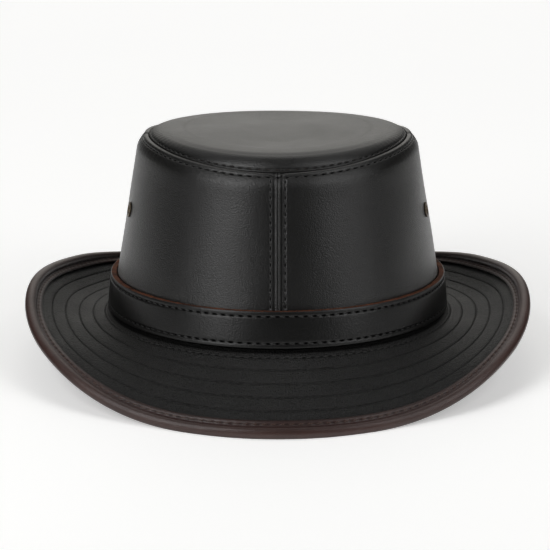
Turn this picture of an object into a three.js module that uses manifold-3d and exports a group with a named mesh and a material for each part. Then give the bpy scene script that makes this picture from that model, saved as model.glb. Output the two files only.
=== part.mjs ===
// A flat-topped black leather hat with a quilted brim, as it rests on a table.
// Millimetres, +Z up, the front of the hat towards -Y and its left side, as seen from the front, at -X.
// The hat is shaped upright. The whole of it then leans back by REST_LEAN, because the brim dips deeper
// in front than at the back, and it stands on the lowest leather of the two dips.
import * as THREE from 'three';
import { mergeVertices } from 'three/addons/utils/BufferGeometryUtils.js';
import Module from 'manifold-3d';

// How the hat stands
const REST_LEAN = 6;
const REST_LIFT = -0.3;

// Leather thicknesses and the gap between neighbouring pieces
const GAP = 0.3;
const CROWN_LEATHER = 2;
const TIP_LEATHER = 2;
const BINDING_LEATHER = 0.9;

// Steps round the whole hat
const STEPS_ROUND = 72;

// Crown wall: two ovals, with straight leather from one to the foot of the shoulder above the other
const CROWN_FOOT = { height: 18, halfWidth: 88.1, halfLength: 108.4 };
const CROWN_WAIST = { height: 42, halfWidth: 85.6, halfLength: 103.6 };

// Seam between wall and tip: an oval that is lower in front and behind than at the sides
const TIP_SEAM = { height: 111.8, sideRise: 3.7, halfWidth: 68.2, halfLength: 85.5 };

// Shoulder, from the top of the straight wall to the tip's seam
const SHOULDER = [
  { drop: 9.5, out: 6.7 },
  { drop: 6.3, out: 6 },
  { drop: 4.4, out: 4.9 },
  { drop: 2.8, out: 3.3 },
  { drop: 1.1, out: 2 },
  { drop: 0.7, out: 0.15 },
];

// Tip: it swells from its seam to a flat top, which sinks a little in the middle
const TIP_TOP = { height: 117, sideRise: 1 };
const TIP_EDGE_DROP = 0.7;
const TIP_SWELL = [
  { inset: 0.15, share: 0 },
  { inset: 1.6, share: 0.32 },
  { inset: 4, share: 0.66 },
  { inset: 8, share: 0.9 },
  { inset: 14, share: 1 },
  { inset: 26, share: 1 },
  { inset: 48, share: 0.94 },
];
const TIP_BACK_ROWS = [0, 2, 4];
const TIP_DISH = 0.4;

// Seams of the crown: four panels meet in narrow valleys, in front, behind and at both sides. The gap and
// the valley's reach from it are degrees round the crown, and the depth is in millimetres.
const SEAM_HALF_GAP = 0.12;
const SEAM_VALLEY = [
  { from: 0, depth: 0.7 },
  { from: 0.9, depth: 0 },
];
const PANEL_STEPS = 16;

// Eyelets: two brass rings on each side, one before and one behind the side seam
const EYELET = { height: 77.6, fromSide: 14, flangeRadius: 4, flangeThickness: 0.7, holeRadius: 1.9 };
const EYELET_ROLL = { width: 0.6, height: 0.2, edgeRound: 0.3 };
const EYELET_BARREL_RADIUS = 2.6;
const EYELET_HOLE_LENGTH = 12;
const EYELET_SIDES = 16;

// Hat band, a strap laid round the foot of the crown
const BAND = { bottom: 23.6, top: 41.4, thickness: 3, edgeRound: 0.7 };

// Brim: its collar stands up round the crown under the band, and its quilted part runs out from a root row
const ROOT_ROW = { height: 19.9, halfWidth: 91.6, halfLength: 111.6 };
const COLLAR = { top: 23.2, bottom: 17.4, thickness: 2.3 };
const BRIM_WIDTH = { front: 44.2, side: 44.9 };
const QUILT = { rows: 4, spacing: 7.36, rowHeight: 0.2, puffHeight: 0.9 };
const BRIM_UNDERSIDE = -1.8;
const BRIM_EDGE_INSET = 1.6;

// Slope of the brim in degrees, up to the outside, at its collar and at its edge
const BRIM_SLOPES = [
  { fromFront: 0, atCollar: -53, atEdge: -45.5 },
  { fromFront: 30, atCollar: -46.5, atEdge: -41 },
  { fromFront: 60, atCollar: -25, atEdge: 9 },
  { fromFront: 90, atCollar: -8, atEdge: 45 },
  { fromFront: 120, atCollar: -20, atEdge: 58 },
  { fromFront: 150, atCollar: -16, atEdge: 25 },
  { fromFront: 180, atCollar: -12, atEdge: 12 },
];

// Binding: leather folded round the brim's edge. inset is measured from the edge of the hat.
const BINDING_OUTSIDE = [
  { inset: 9, height: -3.3 },
  { inset: 3.6, height: -3.4 },
  { inset: 1.1, height: -2.6 },
  { inset: 0, height: -0.6 },
  { inset: 1, height: 1.5 },
  { inset: 3.4, height: 2.3 },
  { inset: 6.2, height: 1.5 },
  { inset: 9, height: 1.6 },
];
const BINDING_INSIDE = [
  { inset: 9, height: 0.8 },
  { inset: 1.2, height: 0.8 },
  { inset: 1.2, height: -2.4 },
  { inset: 9, height: -2.4 },
];

const { lerp, degToRad } = THREE.MathUtils;
const wasm = await Module();
wasm.setup();

// Point at an angle round an oval, in degrees from the front towards the hat's +X side
function ovalPoint({ halfWidth, halfLength, height }, angle) {
  const turn = degToRad(angle);
  return new THREE.Vector3(halfWidth * Math.sin(turn), -halfLength * Math.cos(turn), height);
}

function ovalOutward({ halfWidth, halfLength }, angle) {
  const turn = degToRad(angle);
  return new THREE.Vector3(Math.sin(turn) / halfWidth, -Math.cos(turn) / halfLength, 0).normalize();
}

function grownOval({ halfWidth, halfLength, height }, outBy, upBy) {
  return { halfWidth: halfWidth + outBy, halfLength: halfLength + outBy, height: height + upBy };
}

function mixedOval(low, high, share) {
  return {
    halfWidth: lerp(low.halfWidth, high.halfWidth, share),
    halfLength: lerp(low.halfLength, high.halfLength, share),
    height: lerp(low.height, high.height, share),
  };
}

// The hat's upright shape set down on the table. Leather that would sink below least is pressed flat.
function setDown(point, least = -Infinity) {
  const placed = point.clone().applyAxisAngle(new THREE.Vector3(1, 0, 0), degToRad(-REST_LEAN));
  placed.z = Math.max(placed.z + REST_LIFT, least);
  return placed;
}

// A closed surface from a row of loops. Each runs counter-clockwise where outward is right and up is up.
// Loops that don't meet round the hat are closed by end faces, which join each point to its opposite.
function sweptGeometry(loops, meetsRound) {
  const count = loops[0].length;
  const index = [];
  const steps = meetsRound ? loops.length : loops.length - 1;
  for (let step = 0; step < steps; step += 1) {
    const here = step * count;
    const next = ((step + 1) % loops.length) * count;
    for (let point = 0; point < count; point += 1) {
      const after = (point + 1) % count;
      index.push(here + point, next + point, next + after);
      index.push(here + point, next + after, here + after);
    }
  }
  if (!meetsRound) {
    const last = (loops.length - 1) * count;
    for (let point = 0; point < count / 2 - 1; point += 1) {
      const opposite = count - 1 - point;
      index.push(point, point + 1, opposite - 1, point, opposite - 1, opposite);
      index.push(last + point, last + opposite - 1, last + point + 1);
      index.push(last + point, last + opposite, last + opposite - 1);
    }
  }
  const geometry = new THREE.BufferGeometry();
  const positions = loops.flat().flatMap((point) => point.toArray());
  geometry.setAttribute('position', new THREE.Float32BufferAttribute(positions, 3));
  geometry.setIndex(index);
  return withoutSlivers(mergeVertices(geometry));
}

// Triangles that closed up when equal points were merged are dropped
function withoutSlivers(geometry) {
  const old = Array.from(geometry.index.array);
  const kept = [];
  for (let first = 0; first < old.length; first += 3) {
    const [a, b, c] = old.slice(first, first + 3);
    if (a !== b && b !== c && c !== a) {
      kept.push(a, b, c);
    }
  }
  geometry.setIndex(kept);
  return geometry;
}

function solidOf(geometry) {
  return new wasm.Manifold(new wasm.Mesh({
    numProp: 3,
    vertProperties: Float32Array.from(geometry.attributes.position.array),
    triVerts: Uint32Array.from(geometry.index.array),
  }));
}

function geometryOf(solid) {
  const { vertProperties, triVerts } = solid.getMesh();
  const geometry = new THREE.BufferGeometry();
  geometry.setAttribute('position', new THREE.Float32BufferAttribute(vertProperties, 3));
  geometry.setIndex(Array.from(triVerts));
  return geometry;
}

function mergedPositions(geometry) {
  geometry.deleteAttribute('normal');
  geometry.deleteAttribute('uv');
  return withoutSlivers(mergeVertices(geometry));
}

function leather(color, roughness) {
  return new THREE.MeshStandardMaterial({ color, roughness, metalness: 0 });
}

function namedMesh(name, geometry, material) {
  const mesh = new THREE.Mesh(geometry, material);
  mesh.name = name;
  mesh.geometry.computeVertexNormals();
  return mesh;
}

function roundAngles(steps) {
  return Array.from({ length: steps }, (_, step) => (360 * step) / steps);
}

// Crown

// A height that is greater by sideRise at the sides, and smaller by as much in front and behind
function risingHeight({ height, sideRise }, angle) {
  return height - sideRise * Math.cos(degToRad(2 * angle));
}

function seamOval(angle) {
  return { ...TIP_SEAM, height: risingHeight(TIP_SEAM, angle) };
}

function wallOval(height) {
  const share = (height - CROWN_FOOT.height) / (CROWN_WAIST.height - CROWN_FOOT.height);
  return mixedOval(CROWN_FOOT, CROWN_WAIST, share);
}

// Ovals that the wall's outer face passes through at an angle, from its foot to the seam
function wallFace(angle) {
  const shoulder = SHOULDER.map(({ drop, out }) => grownOval(seamOval(angle), out, -drop));
  return [CROWN_FOOT, CROWN_WAIST, mixedOval(CROWN_WAIST, shoulder[0], 0.5), ...shoulder];
}

// The same ovals one leather thickness further in, square to the face
function wallBack(face) {
  return face.map((oval, row) => {
    if (row === face.length - 1) {
      return grownOval(oval, 0, -CROWN_LEATHER);
    }
    const below = face[Math.max(row - 1, 0)];
    const above = face[row + 1];
    const out = (above.halfWidth + above.halfLength - below.halfWidth - below.halfLength) / 2;
    const up = above.height - below.height;
    const length = Math.hypot(out, up);
    return grownOval(oval, (-CROWN_LEATHER * up) / length, (CROWN_LEATHER * out) / length);
  });
}

// Angles across one panel, closer together in the seam valleys at both of its ends
function panelAngles(start) {
  const inner = SEAM_VALLEY.map(({ from, depth }) => ({ angle: SEAM_HALF_GAP + from, depth }));
  const first = inner[inner.length - 1].angle;
  const middle = [];
  for (let step = 1; step < PANEL_STEPS; step += 1) {
    middle.push({ angle: lerp(first, 90 - first, step / PANEL_STEPS), depth: 0 });
  }
  const outer = inner.map(({ angle, depth }) => ({ angle: 90 - angle, depth })).reverse();
  return [...inner, ...middle, ...outer].map(({ angle, depth }) => ({ angle: start + angle, depth }));
}

function panelGeometry(start) {
  const loops = panelAngles(start).map(({ angle, depth }) => {
    const face = wallFace(angle);
    const back = wallBack(face);
    const facePoints = face.map((oval, row) => {
      const sunk = row === face.length - 1 ? 0 : depth;
      return ovalPoint(grownOval(oval, -sunk, 0), angle);
    });
    const backPoints = back.map((oval) => ovalPoint(oval, angle));
    return [...facePoints, ...backPoints.reverse()].map((point) => setDown(point));
  });
  return sweptGeometry(loops, false);
}

function tipHeight(angle, share) {
  return lerp(seamOval(angle).height - TIP_EDGE_DROP, risingHeight(TIP_TOP, angle), share);
}

function tipGeometry() {
  const centre = new THREE.Vector3(0, 0, TIP_TOP.height - TIP_DISH);
  const loops = roundAngles(STEPS_ROUND).map((angle) => {
    const face = TIP_SWELL.map(({ inset, share }) => {
      const oval = grownOval(TIP_SEAM, -inset, 0);
      return ovalPoint({ ...oval, height: tipHeight(angle, share) }, angle);
    });
    const back = TIP_BACK_ROWS.map((row) => {
      const below = face[row].clone();
      below.z -= TIP_LEATHER;
      return below;
    });
    const centreBack = centre.clone();
    centreBack.z -= TIP_LEATHER;
    return [centreBack, ...back.reverse(), ...face, centre].map((point) => setDown(point));
  });
  return sweptGeometry(loops, true);
}

// Eyelets

function eyeletPlace(angle) {
  const shoulderFoot = grownOval(seamOval(angle), SHOULDER[0].out, -SHOULDER[0].drop);
  const share = (EYELET.height - CROWN_WAIST.height) / (shoulderFoot.height - CROWN_WAIST.height);
  const oval = mixedOval(CROWN_WAIST, shoulderFoot, share);
  const along = ovalPoint(shoulderFoot, angle).sub(ovalPoint(CROWN_WAIST, angle)).normalize();
  const outward = ovalOutward(oval, angle);
  outward.addScaledVector(along, -outward.dot(along)).normalize();
  const lean = new THREE.Quaternion().setFromAxisAngle(new THREE.Vector3(1, 0, 0), degToRad(-REST_LEAN));
  outward.applyQuaternion(lean);
  const turn = new THREE.Quaternion().setFromUnitVectors(new THREE.Vector3(0, 1, 0), outward);
  return { position: setDown(ovalPoint(oval, angle)), turn };
}

// A flange outside the leather, rolled over round its hole, and a barrel through the wall, turned as one ring
function eyeletGeometry() {
  const { flangeRadius, flangeThickness, holeRadius } = EYELET;
  const { width, height, edgeRound } = EYELET_ROLL;
  const flangeTop = GAP + flangeThickness;
  const profile = [
    [holeRadius, -CROWN_LEATHER - GAP],
    [EYELET_BARREL_RADIUS, -CROWN_LEATHER - GAP],
    [EYELET_BARREL_RADIUS, GAP],
    [flangeRadius, GAP],
    [flangeRadius - edgeRound, flangeTop],
    [holeRadius + width, flangeTop + height],
    [holeRadius, flangeTop - height],
    [holeRadius, -CROWN_LEATHER - GAP],
  ];
  const points = profile.map(([radius, along]) => new THREE.Vector2(radius, along));
  return mergedPositions(new THREE.LatheGeometry(points, EYELET_SIDES));
}

function eyeletHole(angle) {
  const radius = EYELET_BARREL_RADIUS + GAP;
  const hole = new THREE.CylinderGeometry(radius, radius, EYELET_HOLE_LENGTH, EYELET_SIDES);
  const { position, turn } = eyeletPlace(angle);
  hole.applyQuaternion(turn);
  hole.translate(position.x, position.y, position.z);
  return solidOf(mergedPositions(hole));
}

// Band

function bandGeometry() {
  const { bottom, top, thickness, edgeRound } = BAND;
  const section = [
    { height: bottom, out: GAP },
    { height: bottom, out: GAP + thickness - edgeRound },
    { height: bottom + edgeRound, out: GAP + thickness },
    { height: top - edgeRound, out: GAP + thickness },
    { height: top, out: GAP + thickness - edgeRound },
    { height: top, out: GAP },
  ];
  const loops = roundAngles(STEPS_ROUND).map((angle) => section.map(({ height, out }) => (
    setDown(ovalPoint(grownOval(wallOval(height), out, 0), angle))
  )));
  return sweptGeometry(loops, true);
}

// Brim

// Slopes between the table's rows follow a smooth curve that is the same on the left and right
function brimSlope(angle, column) {
  const spacing = BRIM_SLOPES[1].fromFront;
  const fromFront = 180 - Math.abs(180 - (((angle % 360) + 360) % 360));
  const last = BRIM_SLOPES.length - 1;
  const row = Math.min(Math.floor(fromFront / spacing), last - 1);
  const share = fromFront / spacing - row;
  const value = (wanted) => BRIM_SLOPES[last - Math.abs(last - Math.abs(wanted))][column];
  const [before, from, to, after] = [value(row - 1), value(row), value(row + 1), value(row + 2)];
  const bend = (3 * (from - to) + after - before) * share ** 3;
  const lift = (2 * before - 5 * from + 4 * to - after) * share ** 2;
  return from + 0.5 * (bend + lift + (to - before) * share);
}

function brimWidth(angle) {
  const atSide = Math.sin(degToRad(angle)) ** 2;
  return lerp(BRIM_WIDTH.front, BRIM_WIDTH.side, atSide);
}

// Point of the brim at a distance out from the root row, and at a height square to the leather
function brimPoint(angle, distance, height) {
  const first = degToRad(brimSlope(angle, 'atCollar'));
  const bend = (degToRad(brimSlope(angle, 'atEdge')) - first) / brimWidth(angle);
  const slope = first + bend * distance;
  const reach = (Math.sin(slope) - Math.sin(first)) / bend;
  const rise = (Math.cos(first) - Math.cos(slope)) / bend;
  const outward = ovalOutward(ROOT_ROW, angle);
  const point = ovalPoint(ROOT_ROW, angle);
  point.addScaledVector(outward, reach - height * Math.sin(slope));
  point.z += rise + height * Math.cos(slope);
  return point;
}

// Heights of the top leather: low at each stitched row and puffed between them
function quiltRows(angle) {
  const { rows, spacing, rowHeight, puffHeight } = QUILT;
  const edge = brimWidth(angle) - BRIM_EDGE_INSET;
  const margin = brimWidth(angle) - BINDING_OUTSIDE[0].inset;
  const result = [{ distance: 0, height: rowHeight }];
  for (let row = 1; row <= rows; row += 1) {
    result.push({ distance: (row - 0.5) * spacing, height: puffHeight });
    result.push({ distance: row * spacing, height: rowHeight });
  }
  result.push({ distance: (rows * spacing + margin) / 2, height: puffHeight });
  result.push({ distance: margin, height: rowHeight });
  result.push({ distance: edge, height: rowHeight });
  return result;
}

function brimGeometry() {
  const least = BINDING_LEATHER + 2 * GAP;
  const loops = roundAngles(STEPS_ROUND).map((angle) => {
    const top = quiltRows(angle).map(({ distance, height }) => brimPoint(angle, distance, height));
    const edge = brimWidth(angle) - BRIM_EDGE_INSET;
    const margin = brimWidth(angle) - BINDING_OUTSIDE[0].inset;
    const bottomRows = [0, margin / 3, (2 * margin) / 3, margin, edge];
    const bottom = bottomRows.map((distance) => brimPoint(angle, distance, BRIM_UNDERSIDE));
    const bottomInside = ovalPoint(grownOval(wallOval(COLLAR.bottom), GAP, 0), angle);
    const collarOutside = ovalPoint(grownOval(wallOval(COLLAR.top), GAP + COLLAR.thickness, 0), angle);
    const collarInside = ovalPoint(grownOval(wallOval(COLLAR.top), GAP, 0), angle);
    const loop = [bottomInside, ...bottom, ...top.reverse(), collarOutside, collarInside];
    return loop.map((point) => setDown(point, least));
  });
  return sweptGeometry(loops, true);
}

function bindingGeometry() {
  const loops = roundAngles(STEPS_ROUND).map((angle) => {
    const width = brimWidth(angle);
    const outside = BINDING_OUTSIDE.map(({ inset, height }) => (
      setDown(brimPoint(angle, width - inset, height), 0)
    ));
    const inside = BINDING_INSIDE.map(({ inset, height }) => (
      setDown(brimPoint(angle, width - inset, height), BINDING_LEATHER)
    ));
    return [...outside, ...inside];
  });
  return sweptGeometry(loops, true);
}

// The hat

const crownLeather = leather(0x232322, 0.5);
const bandLeather = leather(0x1c1c1c, 0.45);
const brimLeather = leather(0x2b2b2a, 0.75);
const bindingLeather = leather(0x3d2f2c, 0.6);
const brass = new THREE.MeshStandardMaterial({ color: 0x6b5637, roughness: 0.45, metalness: 0.9 });

// Each panel starts at one seam's angle and has one eyelet, at an angle near the side seam
const PANELS = [
  { name: 'crown_panel_front_right', start: 0, eyelet: 'eyelet_right_front', at: 90 - EYELET.fromSide },
  { name: 'crown_panel_back_right', start: 90, eyelet: 'eyelet_right_back', at: 90 + EYELET.fromSide },
  { name: 'crown_panel_back_left', start: 180, eyelet: 'eyelet_left_back', at: 270 - EYELET.fromSide },
  { name: 'crown_panel_front_left', start: 270, eyelet: 'eyelet_left_front', at: 270 + EYELET.fromSide },
];

const hat = new THREE.Group();
for (const { name, start, eyelet, at } of PANELS) {
  const panel = solidOf(panelGeometry(start)).subtract(eyeletHole(at));
  hat.add(namedMesh(name, geometryOf(panel), crownLeather.clone()));
  const ring = namedMesh(eyelet, eyeletGeometry(), brass.clone());
  const { position, turn } = eyeletPlace(at);
  ring.position.copy(position);
  ring.quaternion.copy(turn);
  hat.add(ring);
}
hat.add(namedMesh('crown_tip', tipGeometry(), crownLeather.clone()));
hat.add(namedMesh('hat_band', bandGeometry(), bandLeather));
hat.add(namedMesh('brim', brimGeometry(), brimLeather));
hat.add(namedMesh('brim_binding', bindingGeometry(), bindingLeather));

// The middle of the hat's length and width comes over the origin
const box = new THREE.Box3().setFromObject(hat);
hat.position.y = -(box.min.y + box.max.y) / 2;

export default hat;
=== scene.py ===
import math

import bmesh
import bpy
import numpy as np
from mathutils import Matrix, Vector


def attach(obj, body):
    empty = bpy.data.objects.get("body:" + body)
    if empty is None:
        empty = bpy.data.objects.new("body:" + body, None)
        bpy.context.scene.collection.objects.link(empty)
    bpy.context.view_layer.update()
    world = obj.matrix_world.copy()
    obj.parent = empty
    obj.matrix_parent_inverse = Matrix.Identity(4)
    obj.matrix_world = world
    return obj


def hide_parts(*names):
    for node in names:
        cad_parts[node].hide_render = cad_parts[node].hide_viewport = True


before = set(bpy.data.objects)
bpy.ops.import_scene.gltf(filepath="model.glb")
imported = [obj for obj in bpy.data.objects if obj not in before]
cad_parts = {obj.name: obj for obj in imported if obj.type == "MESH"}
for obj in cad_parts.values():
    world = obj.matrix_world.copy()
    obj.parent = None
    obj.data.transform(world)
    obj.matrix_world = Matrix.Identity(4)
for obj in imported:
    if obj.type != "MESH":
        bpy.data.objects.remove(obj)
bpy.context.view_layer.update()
bpy.ops.object.select_all(action="DESELECT")


# Crown panels
# Four quarters of stiff black cowhide, two millimetres thick, butted edge to edge in front, behind and
# at both sides. A row of stitches holds each edge down, and the tops turn in over a rounded shoulder.
CROWN_LEATHER = 0.002
CROWN_STEPS = 1536
SEAM_CROWDING = 0.45
CROWN_FOOT = {"half_width": 0.0881, "half_length": 0.1084, "height": 0.018}
CROWN_WAIST = {"half_width": 0.0856, "half_length": 0.1036, "height": 0.042}
TIP_SEAM = {"half_width": 0.0682, "half_length": 0.0855, "height": 0.1118}
SEAM_SIDE_RISE = 0.0037

# The shoulder's curve, below the tip's seam and out from it
SHOULDER_DROP = np.array([0.0007, 0.0011, 0.0028, 0.0044, 0.0063, 0.0095, 0.014])
SHOULDER_OUT = np.array([0.00015, 0.002, 0.0037, 0.00475, 0.0057, 0.0066, 0.0076])

# The mesh's rows, which lie closer together beside stitches, and the rows of stitches
ROW_SPACING = 0.0005
CLOSE_SPACING = 0.0002
CLOSE_REACH = 0.0013
STRAIGHT_ROWS = 112
SKIRT_ROWS = 6
INSIDE_EVERY = 14
SEAM_STITCH_OFFSET = 0.0037
TIP_SEAM_STITCH_OFFSET = 0.004
SEAM_PITCH = 0.00415
TIP_SEAM_PITCH = 0.0047
SEAM_ROW_FOOT = 0.036
SEAM_ROW_TOP = 0.001
SEAM_ROW_START = 0.0008
SEAM_ROW_FADE = 0.001
STEPS_BESIDE_SEAM = 60
STITCH_FLATNESS = 0.85
HOLE_RADIUS = 0.00034
HOLE_SPREAD = 1.15
VALLEY_WIDTH = 0.0008
SEAM_EDGE = {"radius": 0.0004, "depth": 0.0004}
WALL_EDGE = {"radius": 0.0009, "depth": 0.00054}
SEAM_WEAR = 0.0008
TIP_SEAM_WEAR = 0.0012
PUCKER = 0.00007
PUCKER_REACH = 0.003
WALL_UNEVENNESS = 0.0002
FLESH_OUTWARD = -0.2
FLESH_UPWARD = 0.8
SHARP_EDGE = math.radians(75)
REST_PLACE = Matrix.Translation((0, -0.00775, -0.0003)) @ Matrix.Rotation(math.radians(-6), 4, "X")

# Swellings beside the seams: how high each is, how far from the seam, and how wide. The last three
# are shares of the puckers and of the shade painted into the seam's crack and the dip beside it, not
# heights.
SEAM_VALLEY = (-0.0004, 0, 0.011)
SEAM_DIP = (-0.0003, 0.002, 0.0011)
SEAM_LIP = (0.00022, 0.00065, 0.00026)
TIP_SEAM_ROLL = (0.0003, 0.0022, 0.001)
BULGE_AT_ENDS = (0.0003, 0.0105, 0.0045)
BULGE_AT_SIDES = (0.0005, 0.008, 0.006)
PUCKERS_IN_ROLL = (1, 0.0025, 0.0014)
SEAM_CRACK_SHADE = (0.6, 0, 0.0002)
SEAM_DIP_SHADE = (0.5, 0.0018, 0.0007)


def oval(turn, half_width, half_length, height):
    """Points of ovals at angles from the front towards +X. A size is a number, or a column of them."""
    wide = half_width * np.sin(turn)
    return np.stack([wide, -half_length * np.cos(turn), height + 0 * wide], axis=-1)


def smooth_curve(at, xs, ys):
    """A smooth curve through points, where np.interp would join them with straight lines."""
    slopes = np.gradient(ys, xs)
    low = np.clip(np.searchsorted(xs, at) - 1, 0, len(xs) - 2)
    span = xs[low + 1] - xs[low]
    share = (at - xs[low]) / span
    rising = 3 * share**2 - 2 * share**3
    curve = ys[low] + rising * (ys[low + 1] - ys[low])
    curve += (share**3 - 2 * share**2 + share) * span * slopes[low]
    return curve + (share**3 - share**2) * span * slopes[low + 1]


def column(values):
    return np.asarray(values, float)[:, None]


def rows_along(start, end, spacing, close_at):
    """Places of a grid's rows from start to end, closer together beside stitches and seams."""
    places = [start]
    while places[-1] < end:
        beside = min(abs(places[-1] - place) for place in close_at)
        places.append(places[-1] + (CLOSE_SPACING if beside < CLOSE_REACH else spacing))
    places = np.array(places)
    return start + (places - start) * (end - start) / (places[-1] - start)


def path_length(points, axis):
    """Length along a grid's rows or columns of points, counted from the first."""
    steps = np.linalg.norm(np.diff(points, axis=axis), axis=-1)
    start = np.zeros_like(np.take(steps, [0], axis=axis))
    return np.concatenate([start, np.cumsum(steps, axis=axis)], axis=axis)


def profile_run(across, up):
    """Length along a profile, counted from its first point."""
    return path_length(np.stack([across, up], axis=-1), 0)


def outward_normals(rings):
    """Normals of a closed tube of rings, which run round the hat towards +X, from row to row."""
    around = np.roll(rings, -1, axis=1) - np.roll(rings, 1, axis=1)
    along = np.gradient(rings, axis=0)
    normals = np.cross(around, along)
    return normals / np.maximum(np.linalg.norm(normals, axis=-1, keepdims=True), 1e-12)


def rolled_edge(distance, radius, depth):
    """How far leather falls away at an edge that is rounded over."""
    inside = np.clip(1 - distance / radius, 0, 1)
    return depth * (np.sqrt(1 - inside**2) - 1)


def swelling(distance, height, middle, width):
    """A soft rise, or a dip where its height is negative."""
    return height * np.exp(-(((distance - middle) / width) ** 2))


def needle_holes(distance, phase):
    """How much each point lies in a needle hole. The holes of a row are midway between its stitches."""
    return swelling(distance, 1, 0, HOLE_RADIUS) * np.exp(-(1 + np.cos(phase)) / HOLE_SPREAD)


def row_phase(ring, pitch):
    """Phase of the stitches along a closed ring: whole turns, with the first point again at the end."""
    run = path_length(np.concatenate([ring, ring[:1]]), 0)
    return math.tau * (run / run[-1] * round(run[-1] / pitch) + 0.5)


def sewn_row(distance, phase, depth, valley=0.3):
    """A row of stitches pulled into the leather: a shallow valley, with a pit at each needle hole."""
    return -depth * (swelling(distance, valley, 0, VALLEY_WIDTH) + needle_holes(distance, phase))


def soft_unevenness(turn, height, size):
    """Slow waves of hand-worked leather, the same each time."""
    waves = np.sin(2 * turn + 0.6) * np.sin(70 * height + 1.1) + 0.7 * np.sin(5 * turn + 95 * height + 0.4)
    return size * (waves + 0.5 * np.sin(9 * turn - 130 * height + 2.0)) / 2


def leather_tube(name, rings, closed, wear=0, painted_shade=0):
    """An upright cylinder whose ring of edges is subdivided, each vertex then laid at its place in the
    rings. How worn the leather is, and the shade painted into its needle holes, seams and folds, are kept
    on its vertices for the material."""
    rows, steps = rings.shape[:2]
    marks = {"wear": wear + np.zeros((rows, steps)), "painted_shade": painted_shade + np.zeros((rows, steps))}
    if closed:
        rings = np.concatenate([rings, rings[:1]])
        rows += 1
    bpy.ops.mesh.primitive_cylinder_add(vertices=steps, radius=1, depth=rows - 1, end_fill_type="NOTHING")
    piece = bpy.context.object
    piece.name = name
    piece.data.name = name
    bpy.ops.object.mode_set(mode="EDIT")
    bpy.ops.mesh.select_all(action="DESELECT")
    bpy.ops.mesh.select_mode(type="EDGE")
    mesh = bmesh.from_edit_mesh(piece.data)
    for edge in mesh.edges:
        edge.select_set(abs(edge.verts[0].co.z - edge.verts[1].co.z) > 0.5)
    bmesh.update_edit_mesh(piece.data)
    bpy.ops.mesh.subdivide_edgering(number_cuts=rows - 2)
    bpy.ops.object.mode_set(mode="OBJECT")
    place = np.empty(len(piece.data.vertices) * 3)
    piece.data.vertices.foreach_get("co", place)
    x, y, z = place.reshape(-1, 3).T
    step = np.rint(np.arctan2(x, -y) * steps / math.tau).astype(int) % steps
    row = np.rint(z + (rows - 1) / 2).astype(int)
    piece.data.vertices.foreach_set("co", rings[row, step].ravel())
    mark = piece.data.attributes.new("row", "INT", "POINT")
    mark.data.foreach_set("value", row.astype(np.int32))
    for mark_name, values in marks.items():
        mark = piece.data.attributes.new(mark_name, "FLOAT", "POINT")
        mark.data.foreach_set("value", values[row % len(values), step].astype(np.float32))
    if closed:
        bpy.ops.object.mode_set(mode="EDIT")
        bpy.ops.mesh.select_all(action="SELECT")
        bpy.ops.mesh.remove_doubles(threshold=1e-7)
        bpy.ops.object.mode_set(mode="OBJECT")
    bpy.ops.object.shade_smooth()
    return piece


def rows_of(piece):
    """The row of each vertex of a tube."""
    rows = np.empty(len(piece.data.vertices), np.int32)
    piece.data.attributes["row"].data.foreach_get("value", rows)
    return rows


def set_down(piece, least=None):
    """The upright piece leans back as the hat stands. What would sink below least is pressed flat."""
    piece.data.transform(REST_PLACE)
    if least is not None:
        for vertex in piece.data.vertices:
            vertex.co.z = max(vertex.co.z, least)


def along_line(points, normals, phase):
    """Middles, directions and normals of the stitches of a row, one at each whole turn of its phase."""
    if len(phase) > len(points):
        points = np.concatenate([points, points[:1]])
        normals = np.concatenate([normals, normals[:1]])
    turns = phase / math.tau
    if turns[0] > turns[-1]:
        turns, points, normals = turns[::-1], points[::-1], normals[::-1]
    at = np.arange(math.ceil(turns[0]), turns[-1])
    nearby = 0.12

    def follow(values, where):
        return np.stack([np.interp(where, turns, values[:, part]) for part in range(3)], axis=-1)

    along = follow(points, at + nearby) - follow(points, at - nearby)
    return follow(points, at), along, follow(normals, at)


def sew(name, lines, length, thread, slant, finish):
    """One small waxed stitch, its two ends going down into the leather, copied along the lines."""
    bpy.ops.mesh.primitive_uv_sphere_add(segments=8, ring_count=6, radius=1, rotation=(0, math.pi / 2, 0))
    one = bpy.context.object
    bpy.ops.object.transform_apply(location=False, rotation=True, scale=False)
    shape = np.array([vertex.co for vertex in one.data.vertices])
    shape *= (length / 2, thread, thread * STITCH_FLATNESS)
    shape = shape @ np.array(Matrix.Rotation(slant, 3, "Z")).T
    faces = [list(face.vertices) for face in one.data.polygons]
    uvs = np.array([loop.uv for loop in one.data.uv_layers.active.data])
    bpy.data.objects.remove(one)
    middles, along, up = (np.concatenate([line[part] for line in lines]) for part in range(3))
    along /= np.linalg.norm(along, axis=1, keepdims=True)
    across = np.cross(up, along)
    across /= np.linalg.norm(across, axis=1, keepdims=True)
    axes = np.stack([along, across, np.cross(along, across)], axis=1)
    points = middles[:, None] + np.einsum("vk,nkp->nvp", shape, axes)
    copied = [
        [corner + copy * len(shape) for corner in face] for copy in range(len(middles)) for face in faces
    ]
    mesh = bpy.data.meshes.new(name)
    mesh.from_pydata(points.reshape(-1, 3).tolist(), [], copied)
    mesh.uv_layers.new(name="strand").data.foreach_set("uv", np.tile(uvs, (len(middles), 1)).ravel())
    mesh.shade_smooth()
    mesh.materials.append(finish)
    piece = bpy.data.objects.new(name, mesh)
    bpy.context.scene.collection.objects.link(piece)
    return piece


def feed(node, inputs):
    """Fill inputs of a node, by name or number, each with a value or with the output that feeds it."""
    for socket, value in inputs.items():
        if isinstance(value, bpy.types.NodeSocket):
            node.id_data.links.new(value, node.inputs[socket])
        else:
            node.inputs[socket].default_value = value


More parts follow.
